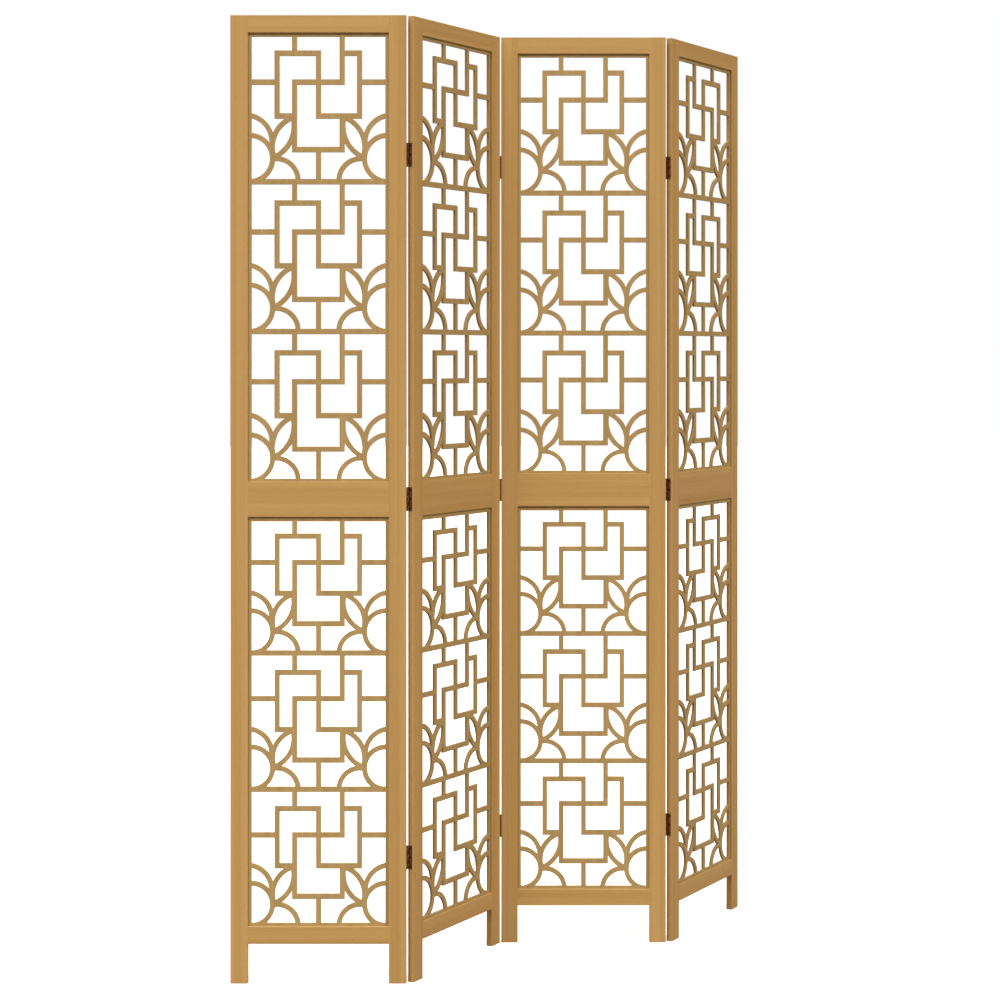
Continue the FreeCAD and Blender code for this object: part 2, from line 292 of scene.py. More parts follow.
def wood_finish(name, colours, layers=STRENGTHS, bump=RELIEF, coat=LACQUER):
    """A wood with its grain, its bump and its worn arrises."""
    material, tree, shader = new_material(name)
    light, dark, pore, worn = (linear(*colour) for colour in colours)
    carried = attribute(tree, "grain")["Vector"]
    values = {
        "Grain": carried,
        "Tone": attribute(tree, "tone")["Fac"],
        "Light": light,
        "Dark": dark,
        "Pore": pore,
        **dict(zip(("Streaks", "Lines", "Fibres", "Pores"), layers)),
    }
    figure = add(tree, "ShaderNodeGroup", values, node_tree=grain).outputs
    edges = worn_edges(tree, figure["Color"], worn, carried, RUB_SCALE, RUB_AMOUNT)
    relief = {"Height": figure["Height"], "Distance": bump, "Strength": 1.0}
    values = {
        "Base Color": edges["Color"],
        "Roughness": figure["Roughness"],
        "Normal": take(tree, "ShaderNodeBump", relief),
        "Specular IOR Level": SHEEN,
        "Coat Weight": coat,
        "Coat Roughness": COAT_ROUGHNESS,
    }
    fill(tree, shader, values)
    return material


pale_brown = (195, 158, 98), (171, 132, 74), (120, 80, 38), (198, 160, 100)
grey_brown = (181, 153, 101), (158, 130, 81), (124, 88, 46), (184, 156, 104)
birch = (216, 190, 150), (190, 158, 112), (150, 120, 80), (224, 200, 164)
frame_wood = wood_finish("frame_wood", pale_brown)
fretwork_wood = wood_finish("fretwork_wood", grey_brown)
dowel_wood = wood_finish("dowel_wood", birch, DOWEL_STRENGTHS, DOWEL_RELIEF, coat=0.0)

# %% [markdown]
# The hinges are small stamped ones with a bronze lacquer: reddish brown, a little cloudy, with
# brighter edges where the leaves rub. Bare metal would mirror the room, but lacquer mostly
# scatters light, so the finish is only partly metallic. Noise clouds both the colour and the
# roughness, and fine noise dimples the surface. The screws are darker.

# %% The metals
CLOUD_SCALE, DIMPLE_SCALE = 160.0, 2600.0
DIMPLE_DEPTH = 0.02 * MM
CLOUD_ROUGHNESS = 0.3
WORN_GLOSS = 0.12
METALLIC = 0.3
BRIGHT_SCALE, BRIGHT_AMOUNT = 240.0, 0.8


def metal_finish(name, brown, cloud, bright, roughness):
    """A browned metal with cloudy patches and bright worn edges."""
    material, tree, shader = new_material(name)
    place = add(tree, "ShaderNodeTexCoord").outputs["Object"]
    clouds, dimples = noise(tree, place, CLOUD_SCALE, 4.0), noise(tree, place, DIMPLE_SCALE, 2.0)
    base = blend(tree, clouds, linear(*brown), linear(*cloud))
    edges = worn_edges(tree, base, linear(*bright), place, BRIGHT_SCALE, BRIGHT_AMOUNT)
    least = roughness - CLOUD_ROUGHNESS / 2
    gloss = maths(tree, "MULTIPLY_ADD", clouds, CLOUD_ROUGHNESS, least)
    values = {
        "Base Color": edges["Color"],
        "Roughness": maths(tree, "MULTIPLY_ADD", edges["Mask"], -WORN_GLOSS, gloss),
        "Normal": take(tree, "ShaderNodeBump", {"Height": dimples, "Distance": DIMPLE_DEPTH}),
        "Metallic": METALLIC,
    }
    fill(tree, shader, values)
    return material


hinge_metal = metal_finish("hinge_metal", (128, 76, 34), (100, 54, 22), (164, 110, 62), 0.45)
pin_metal = metal_finish("pin_metal", (140, 94, 56), (116, 74, 42), (180, 134, 88), 0.4)
screw_metal = metal_finish("screw_metal", (34, 12, 4), (24, 8, 3), (70, 36, 18), 0.45)
print("materials:", [material.name for material in bpy.data.materials])

# %% [markdown]
# Every piece is made in its panel's own frame and then set in place the same way: the mesh is
# moved to where the panel stands, the object stays at the origin, and the piece rides on the
# panel's body and stands for its CAD node. Wood pieces also need their grain coordinates. They
# are worked out from the finished mesh, with a random start for each board, so that no two boards
# look cut from the same place.

# %% Setting a piece in place
SEED = 7
chance = random.Random(SEED)
AXES = {"x": 0, "y": 1, "z": 2}
TONE_SPREAD = 0.015
SQUARE = 0.9999


def as_mesh(made, name):
    """The mesh of a shape."""
    mesh = bpy.data.meshes.new(name)
    made.to_mesh(mesh)
    return mesh


def as_object(name, mesh):
    """A mesh as an object in the scene."""
    holder = bpy.data.objects.new(name, mesh)
    scene.collection.objects.link(holder)
    return holder


def as_model(name, made):
    """A shape as an object in the scene."""
    return as_object(name, as_mesh(made, name))


def skin(made, rings):
    """Faces from each ring of points to the next, and over both ends."""
    for before, after in zip(rings, rings[1:]):
        for index in range(len(before)):
            nearby = (index + 1) % len(before)
            made.faces.new((before[index], before[nearby], after[nearby], after[index]))
    made.faces.new(reversed(rings[0]))
    made.faces.new(rings[-1])


def write_attribute(mesh, name, kind, domain, values):
    """Store values on a mesh."""
    key = "vector" if kind == "FLOAT_VECTOR" else "value"
    mesh.attributes.new(name, kind, domain).data.foreach_set(key, values)


def add_grain(mesh, order):
    """Give a mesh its grain coordinates: order names the axes along, across and through it."""
    start = [chance.uniform(0, 9) for _ in order]
    values = []
    for vertex in mesh.vertices:
        values += [start[slot] + vertex.co[AXES[axis]] for slot, axis in enumerate(order)]
    write_attribute(mesh, "grain", "FLOAT_VECTOR", "POINT", values)
    tone = chance.uniform(-TONE_SPREAD, TONE_SPREAD)
    write_attribute(mesh, "tone", "FLOAT", "POINT", [tone] * len(mesh.vertices))


def add_arris(mesh, is_arris):
    """Mark the faces that ease an edge."""
    values = [float(is_arris(face.normal)) for face in mesh.polygons]
    write_attribute(mesh, "arris", "FLOAT", "FACE", values)


def smooth(mesh, angle=30):
    """Shade curved faces as one, and keep edges sharper than the angle. Square faces stay flat."""
    mesh.shade_smooth()
    mesh.set_sharp_from_angle(angle=math.radians(angle))
    for face in mesh.polygons:
        face.use_smooth = max(abs(value) for value in face.normal) < SQUARE


def set_piece(name, mesh, panel, nodes, material):
    """Stand a finished mesh in its panel, in place of CAD nodes."""
    mesh.transform(places[panel])
    mesh.materials.clear()
    mesh.materials.append(material)
    piece = as_object(name, mesh)
    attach(piece, f"panel_{panel}")
    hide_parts(*nodes)


# %% [markdown]
# A frame member is a planed board with its edges just broken. A cube with a Bevel modifier would
# do, but the edges differ: the outer ones are rounder than the inner ones, and the ends are cut
# square and only sanded. So each board is drawn as rings of a rounded rectangle from one end to
# the other, with a slightly smaller ring at each end.

# %% Boards
ROUNDED = 1.0 * MM
BROKEN = 0.3 * MM
SANDED = 0.6 * MM
JOINTED = 0.1 * MM
ARC_STEPS = 4


def rounded_ring(low, high, radii, inset):
    """A rectangle with a radius for each corner, drawn smaller all round by the inset."""
    ring = []
    turns = ((-1, -1, 180), (1, -1, 270), (1, 1, 0), (-1, 1, 90))
    for (side, level, start), radius in zip(turns, radii):
        centre_x = (high[0] - radius) if side > 0 else (low[0] + radius)
        centre_y = (high[1] - radius) if level > 0 else (low[1] + radius)
        # A radius that the inset would use up is halved, so that no corner gets sharp.
        reach = radius - inset if radius > inset else radius / 2
        shift = inset + reach - radius
        for step in range(ARC_STEPS + 1):
            angle = math.radians(start + 90 * step / ARC_STEPS)
            x = centre_x - side * shift + reach * math.cos(angle)
            y = centre_y - level * shift + reach * math.sin(angle)
            ring.append((x, y))
    return ring


def board(low, high, radii, end_ease, upright):
    """A board between two corners. Its section is in x and y if upright, or in z and y if not."""
    first, length = (0, 2) if upright else (2, 0)
    section = (low[first], low[1]), (high[first], high[1])
    stations = (
        (low[length], end_ease),
        (low[length] + end_ease, 0),
        (high[length] - end_ease, 0),
        (high[length], end_ease),
    )
    made = bmesh.new()
    rings = []
    for station, inset in stations:
        ring = []
        for across, y in rounded_ring(*section, radii, inset):
            spot = [0, y, 0]
            spot[first] = across
            spot[length] = station
            ring.append(made.verts.new(spot))
        rings.append(ring)
    skin(made, rings)
    bmesh.ops.recalc_face_normals(made, faces=made.faces)
    return made


# %% [markdown]
# A board has a groove for the edges of the fretwork, and holes for its dowels and hinge screws. A
# joiner cuts these, and here a Boolean does. The cutters come from the CAD model, so they are in
# the right places: a block for each sheet of fretwork, and the dowels and screws themselves, each
# grown a little for clearance. A Boolean leaves doubled corners and faces without area, which can
# show as black slivers, so a Weld modifier follows it.

# %% Cutting grooves and holes
GROOVE_GROWTH = Vector((0.3, 0.1, 0.3)) * MM
HOLE_GROWTH = 0.05 * MM
WELD = 0.001 * MM


def welded_copy(node, panel):
    """A CAD node's mesh in its panel's own frame, with its loose triangles joined."""
    made = bmesh.new()
    made.from_mesh(frame["nodes"][node].data)
    made.transform(places[panel].inverted())
    bmesh.ops.remove_doubles(made, verts=made.verts, dist=WELD)
    return made


def cutters(panel):
    """One object that holds every cutter of a panel."""
    made = bmesh.new()
    for window in ("lower", "upper"):
        low, high = own_box(f"panel_{panel}_{window}_lattice", panel)
        low, high = low - GROOVE_GROWTH, high + GROOVE_GROWTH
        middle, size = (low + high) / 2, high - low
        block = Matrix.Translation(middle) @ Matrix.Diagonal((*size, 1))
        bmesh.ops.create_cube(made, size=1, matrix=block)
    for group in ("dowels", "hinge_screws"):
        rods = welded_copy(f"panel_{panel}_{group}", panel)
        rods.normal_update()
        moves = [vertex.normal * HOLE_GROWTH * vertex.calc_shell_factor() for vertex in rods.verts]
        for vertex, move in zip(rods.verts, moves):
            vertex.co = vertex.co + move
        made.from_mesh(as_mesh(rods, "rods"))
    return as_model("cutters", made)


def evaluated(holder):
    """The mesh that an object's modifiers make. The object itself is removed."""
    bpy.context.view_layer.update()
    graph = bpy.context.evaluated_depsgraph_get()
    mesh = bpy.data.meshes.new_from_object(holder.evaluated_get(graph))
    bpy.data.objects.remove(holder)
    return mesh


def cut(made, cutter, crossing=False):
    """Take a cutter out of a shape, weld what is left, and give its mesh."""
    blank = as_model("blank", made)
    joinery = blank.modifiers.new("joinery", "BOOLEAN")
    joinery.operation = "DIFFERENCE"
    joinery.solver = "EXACT"
    joinery.use_self = crossing
    joinery.object = cutter
    blank.modifiers.new("weld", "WELD").merge_threshold = WELD
    return evaluated(blank)


STILE_RADII = {
    "left_stile": (ROUNDED, BROKEN, BROKEN, ROUNDED),
    "right_stile": (BROKEN, ROUNDED, ROUNDED, BROKEN),
}
RAILS = ("top_rail", "middle_rail", "bottom_rail")

for panel in PANELS:
    cutter = cutters(panel)
    for member in (*STILE_RADII, *RAILS):
        node = f"panel_{panel}_{member}"
        upright = member in STILE_RADII
        radii = STILE_RADII.get(member, (ROUNDED,) * 4)
        ease = SANDED if upright else JOINTED
        mesh = cut(board(*own_box(node, panel), radii, ease, upright), cutter)
        add_arris(mesh, lambda normal: max(abs(value) for value in normal) < SQUARE)
        add_grain(mesh, "zxy" if upright else "xzy")
        smooth(mesh)
        set_piece(node + "_board", mesh, panel, [node], frame_wood)
        if panel == 1:
            print(node, "faces:", len(mesh.polygons))
    bpy.data.objects.remove(cutter)

# %% [markdown]
# The fretwork is cut from one thin board: straight bars that form two interlocked squares, and
# arcs like leaves in the corners, three times over in each window. Sawing it out of a plate with
# hundreds of holes would be slow to draw. It follows a rule, so it is drawn as a plan of plain
# lines, and Geometry Nodes give every line its width. First come the parts of the tree: a bar is
# a box with its long arrises eased, and one small shape is stretched to fit every line.

# %% Geometry Nodes: eased bars along straight lines
bars, given, out = new_group(
    "eased_bars",
    "GeometryNodeTree",
    {"Lines": "Geometry", "Section": "Vector", "Ease": "Float"},
    {"Geometry": "Geometry"},
)
ends = add(bars, "GeometryNodeInputMeshEdgeVertices").outputs
span = vectors(bars, "ABSOLUTE", vectors(bars, "SUBTRACT", ends["Position 1"], ends["Position 2"]))
half = vectors(bars, "SCALE", vectors(bars, "ADD", span, given["Section"]), Scale=0.5)
sized = add(bars, "GeometryNodeCaptureAttribute", {"Geometry": given["Lines"]}, domain="EDGE")
sized.capture_items.new("VECTOR", "half")
fill(bars, sized, {"half": half})
middles = take(bars, "GeometryNodeMeshToPoints", {"Mesh": sized.outputs["Geometry"]}, mode="EDGES")

wide = take(bars, "GeometryNodeMeshCube", {"Size": (2, 2, 1)})
tall = take(bars, "GeometryNodeMeshCube", {"Size": (1, 1, 2)})
both = take(bars, "GeometryNodeJoinGeometry", {"Geometry": [wide, tall]})
hull = take(bars, "GeometryNodeConvexHull", {"Geometry": both})
marked = add(bars, "GeometryNodeCaptureAttribute", {"Geometry": hull}, domain="POINT")
marked.capture_items.new("VECTOR", "corner")
position = take(bars, "GeometryNodeInputPosition")
fill(bars, marked, {"corner": position})
copies = {"Points": middles, "Instance": marked.outputs["Geometry"]}
copies = take(bars, "GeometryNodeInstanceOnPoints", copies)
real = take(bars, "GeometryNodeRealizeInstances", {"Geometry": copies})

corner = marked.outputs["corner"]
short = vectors(bars, "SUBTRACT", (1, 1, 1), vectors(bars, "ABSOLUTE", corner))
inset = vectors(bars, "SCALE", vectors(bars, "SCALE", short, Scale=2.0), Scale=given["Ease"])
reach = vectors(bars, "SUBTRACT", sized.outputs["half"], inset)
reach = vectors(bars, "MULTIPLY", vectors(bars, "SIGN", corner), reach)
spot = vectors(bars, "ADD", vectors(bars, "SUBTRACT", position, corner), reach)
fill(bars, out, {0: take(bars, "GeometryNodeSetPosition", {"Geometry": real, "Position": spot})})
print("eased bars:", len(bars.nodes), "nodes")

# %% [markdown]
# The fretwork tree sorts the plan's lines by their kind. Straight lines become bars, and arcs
# become curves with a profile swept along them. These make up the tile, which is repeated up the
# window on a Mesh Line. Cross lines are drawn only once: the four sides of the border, each with
# a width of its own, and the lines between the tiles. One Boolean joins everything into a single
# board, so that no face is left inside a crossing, and its doubled corners are merged. Its faces
# have up to sixty corners, and can fold over themselves once they are turned, which shows as a
# black wedge. So they are parted into triangles while the sheet still lies flat.

# %% Geometry Nodes: the sheet of fretwork
STRAIGHT, CURVED, CROSS = range(3)

fretwork, given, out = new_group(
    "fretwork",
    "GeometryNodeTree",
    {
        "Plan": "Geometry",
        **dict.fromkeys(("Upright Width", "Cross Width", "Curved Width"), "Float"),
        **dict.fromkeys(("Thickness", "Ease", "Tile Height"), "Float"),
        "Tiles": "Int",
        "Material": "Material",
    },
    {"Geometry": "Geometry"},
)
kind, own_width = (
    take(fretwork, "GeometryNodeInputNamedAttribute", {"Name": name}, data_type=data_type)
    for name, data_type in (("kind", "INT"), ("width", "FLOAT"))
)


def lines_of(chosen):
    """The plan's lines of one kind."""
    pair = {2: kind, 3: chosen}
    same = take(fretwork, "FunctionNodeCompare", pair, data_type="INT", operation="EQUAL")
    picked = {"Geometry": given["Plan"], "Selection": same}
    return take(fretwork, "GeometryNodeSeparateGeometry", picked, domain="EDGE")


def bars_along(geometry, upright_width, cross_width):
    """Eased bars along lines. A bar reaches past its ends by half the width of those it meets."""
    section = {"X": upright_width, "Y": cross_width, "Z": given["Thickness"]}
    section = take(fretwork, "ShaderNodeCombineXYZ", section)
    values = {"Lines": geometry, "Section": section, "Ease": given["Ease"]}
    return take(fretwork, "GeometryNodeGroup", values, node_tree=bars)


straight = bars_along(lines_of(STRAIGHT), given["Upright Width"], given["Cross Width"])
crossing = bars_along(lines_of(CROSS), own_width, own_width)
arcs = take(fretwork, "GeometryNodeMeshToCurve", {"Mesh": lines_of(CURVED)})
arcs = take(fretwork, "GeometryNodeSetCurveNormal", {"Curve": arcs}, mode="Z_UP")
profile = {"Width": given["Curved Width"], "Height": given["Thickness"]}
profile = take(fretwork, "GeometryNodeCurvePrimitiveQuadrilateral", profile)
profile = {"Curve": profile, "Count": 1, "Radius": given["Ease"]}
profile = take(fretwork, "GeometryNodeFilletCurve", profile, mode="POLY")
curved = {"Curve": arcs, "Profile Curve": profile, "Fill Caps": True}
curved = take(fretwork, "GeometryNodeCurveToMesh", curved)
tile = take(fretwork, "GeometryNodeJoinGeometry", {"Geometry": [straight, curved]})
position = take(fretwork, "GeometryNodeInputPosition")
inside = take(fretwork, "ShaderNodeCombineXYZ", {"X": -1.0, "Y": given["Ease"], "Z": -1.0})
kept = vectors(fretwork, "MAXIMUM", position, inside)
tile = take(fretwork, "GeometryNodeSetPosition", {"Geometry": tile, "Position": kept})
rise = take(fretwork, "ShaderNodeCombineXYZ", {"Y": given["Tile Height"]})
floors = take(fretwork, "GeometryNodeMeshLine", {"Count": given["Tiles"], "Offset": rise})
stack = take(fretwork, "GeometryNodeInstanceOnPoints", {"Points": floors, "Instance": tile})
loose = take(fretwork, "GeometryNodeJoinGeometry", {"Geometry": [stack, crossing]})
real = take(fretwork, "GeometryNodeRealizeInstances", {"Geometry": loose})
joined = {"Mesh 2": real, "Self Intersection": True}
joined = take(fretwork, "GeometryNodeMeshBoolean", joined, operation="UNION", solver="EXACT")
welded = take(fretwork, "GeometryNodeMergeByDistance", {"Geometry": joined, "Distance": WELD})
parted = take(fretwork, "GeometryNodeTriangulate", {"Mesh": welded})
coloured = {"Geometry": parted, "Material": given["Material"]}
fill(fretwork, out, {0: take(fretwork, "GeometryNodeSetMaterial", coloured)})
print("fretwork:", len(fretwork.nodes), "nodes")

# %% [markdown]
# The plan holds the pattern itself. Columns are shares of the opening's width and rows are shares
# of a tile's height, so the same pattern fits the lower window and the slightly taller upper one.
# A straight bar runs between a column and a row and another, and an arc through three points.

# %% The pattern
COLUMNS = {
    "left_edge": -0.5,
    "far_left": -0.31,
    "left": -0.179,
    "centre": 0.0,
    "right": 0.177,
    "far_right": 0.307,
    "right_edge": 0.5,
}
ROWS = {"sill": 0.0, "seat": 0.2145, "waist": 0.4387, "chest": 0.6648, "brow": 0.8578, "head": 1.0}
STRAIGHT_BARS = (
    ("centre", "sill", "centre", "seat"),
    ("left", "seat", "right", "seat"),
    ("left", "seat", "left", "chest"),
    ("right", "seat", "right", "waist"),
    ("far_left", "waist", "left", "waist"),
    ("centre", "waist", "far_right", "waist"),
    ("far_left", "waist", "far_left", "brow"),
    ("centre", "waist", "centre", "brow"),
    ("far_right", "waist", "far_right", "brow"),
    ("left_edge", "chest", "far_left", "chest"),
    ("left", "chest", "right", "chest"),
    ("far_right", "chest", "right_edge", "chest"),
    ("far_left", "brow", "centre", "brow"),
    ("right", "brow", "far_right", "brow"),
    ("left", "brow", "left", "head"),
    ("right", "chest", "right", "head"),
)
CURVED_BARS = {
    "round": ((-0.51, 0.001), (-0.344, 0.156), (-0.51, 0.31)),
    "petal": ((-0.516, 0.443), (-0.403, 0.389), (-0.357, 0.214)),
    "leaf_outer": ((-0.338, 0.175), (-0.283, 0.375), (-0.197, 0.428)),
    "leaf_inner": ((-0.339, 0.161), (-0.233, 0.236), (-0.192, 0.433)),
    "quarter": ((-0.348, 0.151), (-0.199, 0.11), (-0.153, 0.0)),
}
UPRIGHT_BAR = 11.6 * MM
CROSS_BAR = 12.5 * MM
CURVED_BAR = 11.5 * MM
LAP = 4 * MM
SIDE_SHOWN = 8 * MM
SILL_SHOWN = 7 * MM
HEAD_SHOWN = {"lower": 10.8 * MM, "upper": 8.4 * MM}
TOP_LINE_RISE = 11 * MM
TILES = 3
SHEET_EASE = 0.3 * MM
ARC_STEP = math.radians(5)


def arc_points(first, middle, last):
    """Points along the arc through three points, a few degrees apart."""
    (ax, ay), (bx, by), (cx, cy) = first, middle, last
    a, b, c = (x * x + y * y for x, y in (first, middle, last))
    scale = 2 * (ax * (by - cy) + bx * (cy - ay) + cx * (ay - by))
    x = (a * (by - cy) + b * (cy - ay) + c * (ay - by)) / scale
    y = (a * (cx - bx) + b * (ax - cx) + c * (bx - ax)) / scale
    radius = math.hypot(ax - x, ay - y)
    start, half_way, end = (math.atan2(v - y, u - x) for u, v in (first, middle, last))
    turn = (end - start) % math.tau
    if (half_way - start) % math.tau > turn:
        turn -= math.tau
    steps = math.ceil(abs(turn) / ARC_STEP)
    angles = [start + turn * step / steps for step in range(steps + 1)]
    return [(x + radius * math.cos(a), y + radius * math.sin(a)) for a in angles]


def plan(low, high, hand, head_shown):
    """The plan of one sheet, drawn flat, from the middle of its foot. Its tile is drawn once."""
    width, top = high.x - low.x, high.z - low.z
    side, sill, head = LAP + SIDE_SHOWN, LAP + SILL_SHOWN, LAP + head_shown
    opening, floor = width - 2 * side, sill - CROSS_BAR / 2
    tile_height = (top - head + TOP_LINE_RISE - floor) / TILES
    runs = []
    for *start, end_column, end_row in STRAIGHT_BARS:
        run = []
        for column, row in (start, (end_column, end_row)):
            lowered = CROSS_BAR / 2 if row == "head" else 0
            y = floor + ROWS[row] * tile_height - lowered
            run.append((hand * COLUMNS[column] * opening, y))
        runs.append((STRAIGHT, 0, run))
    for shares in CURVED_BARS.values():
        for mirror in (1, -1):
            points = [(mirror * x * opening, floor + y * tile_height) for x, y in shares]
            runs.append((CURVED, 0, arc_points(*points)))
    for sign in (-1, 1):
        x = sign * (width - side) / 2
        runs.append((CROSS, side, [(x, side / 2), (x, top - side / 2)]))
    levels = [(sill / 2, sill), (top - head / 2, head)]
    levels += [(floor + tile * tile_height, CROSS_BAR) for tile in range(1, TILES)]
    for y, wide in levels:
        runs.append((CROSS, wide, [((wide - width) / 2, y), ((width - wide) / 2, y)]))
    points, edges, kinds, widths = [], [], [], []
    for sort, wide, run in runs:
        start, count = len(points), len(run) - 1
        points += [(x, y, 0) for x, y in run]
        edges += [(start + step, start + step + 1) for step in range(count)]
        kinds += [sort] * count
        widths += [wide] * count
    mesh = bpy.data.meshes.new("plan")
    mesh.from_pydata(points, edges, [])
    write_attribute(mesh, "kind", "INT", "EDGE", kinds)
    write_attribute(mesh, "width", "FLOAT", "EDGE", widths)
    return mesh, tile_height


# %% [markdown]
# The modifier's inputs are set before Blender evaluates the object for the first time, by each
# socket's identifier. There are four different sheets: lower and upper, and the last panel's pair,
# which has its squares turned the other way. Each is made once and copied to the panels that use
# it. It was drawn lying flat, so it is stood up before it goes into its panel.

# %% Cutting the fretwork
def run_tree(mesh, tree, values):
    """Put a mesh through a node tree with the inputs named, and give the mesh it makes."""
    holder = as_object("holder", mesh)
    modifier = holder.modifiers.new("nodes", "NODES")
    modifier.node_group = tree
    for socket in tree.interface.items_tree:
        if socket.in_out == "INPUT" and socket.name in values:
            modifier[socket.identifier] = values[socket.name]
    return evaluated(holder)


def sheet(panel, window, hand):
    """One sheet of fretwork in its panel's own frame."""
    low, high = own_box(f"panel_{panel}_{window}_lattice", panel)
    drawn, tile_height = plan(low, high, hand, HEAD_SHOWN[window])
    sizes = {
        "Upright Width": UPRIGHT_BAR,
        "Cross Width": CROSS_BAR,
        "Curved Width": CURVED_BAR,
        "Thickness": high.y - low.y,
        "Ease": SHEET_EASE,
        "Tiles": TILES,
        "Tile Height": tile_height,
        "Material": fretwork_wood,
    }
    mesh = run_tree(drawn, fretwork, sizes)
    foot = Vector(((low.x + high.x) / 2, (low.y + high.y) / 2, low.z))
    mesh.transform(Matrix.Translation(foot) @ Matrix.Rotation(math.radians(90), 4, "X"))
    return mesh


patterns = {}
for panel in PANELS:
    hand = -1 if panel == PANELS[-1] else 1
    for window in ("lower", "upper"):
        if (window, hand) not in patterns:
            patterns[window, hand] = sheet(panel, window, hand)
        mesh = patterns[window, hand].copy()
        node = f"panel_{panel}_{window}_lattice"
        add_arris(mesh, lambda normal: 0.2 < abs(normal.y) < 0.98)
        add_grain(mesh, "zxy")
        smooth(mesh)
        set_piece(node + "_sheet", mesh, panel, [node], fretwork_wood)
for (window, hand), mesh in patterns.items():
    print(window, "sheet, hand", hand, "faces:", len(mesh.polygons))

# %% [markdown]
# Dowels, screws and hinge pins are turned pieces that repeat. Each is modelled once, standing on
# the origin, and a small tree sets it out on points that know which way to aim. The places are
# read from the CAD model: every separate solid in a group gives its middle and its ends.

# %% Geometry Nodes: setting out turned pieces
set_out, given, out = new_group(
    "set_out",
    "GeometryNodeTree",
    {"Places": "Geometry", "Piece": "Object", "Material": "Material"},
    {"Geometry": "Geometry"},
)
aim = {"Name": "aim"}
aim = take(set_out, "GeometryNodeInputNamedAttribute", aim, data_type="FLOAT_VECTOR")
turn = take(set_out, "FunctionNodeAlignRotationToVector", {"Vector": aim}, axis="Z")
spots = take(set_out, "GeometryNodeMeshToPoints", {"Mesh": given["Places"]})
piece = add(set_out, "GeometryNodeObjectInfo", {"Object": given["Piece"]}).outputs["Geometry"]
copies = {"Points": spots, "Instance": piece, "Rotation": turn}
copies = take(set_out, "GeometryNodeInstanceOnPoints", copies)
real = take(set_out, "GeometryNodeRealizeInstances", {"Geometry": copies})
real = {"Geometry": real, "Material": given["Material"]}
fill(set_out, out, {0: take(set_out, "GeometryNodeSetMaterial", real)})


def turned_shape(profile, segments, relief=None):
    """A shape turned from a profile of radius and height, from its foot to its top."""
    made = bmesh.new()
    rings = []
    for radius, height in profile:
        ring = []
        for step in range(segments):
            angle = math.tau * step / segments
            reach = radius + (relief(angle, height) if relief else 0)
            ring.append(made.verts.new((reach * math.cos(angle), reach * math.sin(angle), height)))
        rings.append(ring)
    skin(made, rings)
    return made


def solids_of(node, panel):
    """The points of each separate solid in a CAD node, in the panel's own frame."""
    made = welded_copy(node, panel)
    left, groups = dict.fromkeys(made.verts), []
    while left:
        group, front = [], [left.popitem()[0]]
        while front:
            vertex = front.pop()
            group.append(vertex.co.copy())
            for edge in vertex.link_edges:
                nearby = edge.other_vert(vertex)
                if nearby in left:
                    del left[nearby]
                    front.append(nearby)
        groups.append(group)
    return groups


def extent(points, axis):
    """The lowest and highest value of points along one axis."""
    values = [point[axis] for point in points]
    return min(values), max(values)


def middle_of(points):
    """The middle of points."""
    return Vector(sum(extent(points, axis)) / 2 for axis in range(3))


# %% [markdown]
# A dowel is a birch peg with its ends chamfered and its sides fluted, so that glue can escape.
# It is hidden in the joints, but it is part of the object, so it gets its real shape.

# %% Dowels
DOWEL_RADIUS = 3 * MM
DOWEL_LENGTH = 30 * MM
DOWEL_CHAMFER = 0.8 * MM
FLUTES = 12
FLUTE_DEPTH = 0.25 * MM


def flutes(angle, height):
    """How far a flute goes in at an angle round the dowel."""
    return -FLUTE_DEPTH * max(0, math.cos(FLUTES * angle))


half_dowel = DOWEL_LENGTH / 2
dowel_profile = (
    (DOWEL_RADIUS - DOWEL_CHAMFER, -half_dowel),
    (DOWEL_RADIUS, DOWEL_CHAMFER - half_dowel),
    (DOWEL_RADIUS, half_dowel - DOWEL_CHAMFER),
    (DOWEL_RADIUS - DOWEL_CHAMFER, half_dowel),
)
dowel = as_model("dowel", turned_shape(dowel_profile, FLUTES * 4, flutes))


def places_mesh(spots):
    """A mesh of points, each with the way its piece aims."""
    mesh = bpy.data.meshes.new("places")
    mesh.from_pydata([spot for spot, _ in spots], [], [])
    values = [value for _, way in spots for value in way]
    write_attribute(mesh, "aim", "FLOAT_VECTOR", "POINT", values)
    return mesh


for panel in PANELS:
    node = f"panel_{panel}_dowels"
    spots = [(middle_of(solid), (1, 0, 0)) for solid in solids_of(node, panel)]
    mesh = run_tree(places_mesh(spots), set_out, {"Piece": dowel, "Material": dowel_wood})
    add_arris(mesh, lambda normal: 0.3 < abs(normal.x) < 0.95)
    add_grain(mesh, "xzy")
    smooth(mesh)
    set_piece(node + "_pegs", mesh, panel, [node], dowel_wood)
print("dowels per panel:", len(spots))

# %% [markdown]
# A hinge screw has a flat countersunk head with a cross recess, and a thread down to its point.
# The thread is a real helix: the rings of the shank are pushed in and out by an amount that turns
# with the height. The recess is a cross-shaped punch, taken out of the head with a Boolean.

# %% Screws
SCREW_RADIUS = 1.1 * MM
SCREW_HEAD_RADIUS = 2.5 * MM
SCREW_LENGTH = 12 * MM
HEAD_DEPTH = 0.7 * MM
RIM = 0.1 * MM
PITCH = 1.0 * MM
THREAD_DEPTH = 0.22 * MM
TIP = 3 * MM
RINGS_PER_TURN = 5
SCREW_SEGMENTS = 16
THREAD_TOP = -HEAD_DEPTH - 0.8 * MM


def thread(angle, height):
    """How far the thread's root goes in, at an angle and a height."""
    if not -SCREW_LENGTH + 0.5 * MM < height < THREAD_TOP:
        return 0
    phase = (height / PITCH - angle / math.tau) % 1
    fade = min(1, (height + SCREW_LENGTH) / TIP)
    return -THREAD_DEPTH * fade * (1 - abs(2 * phase - 1))


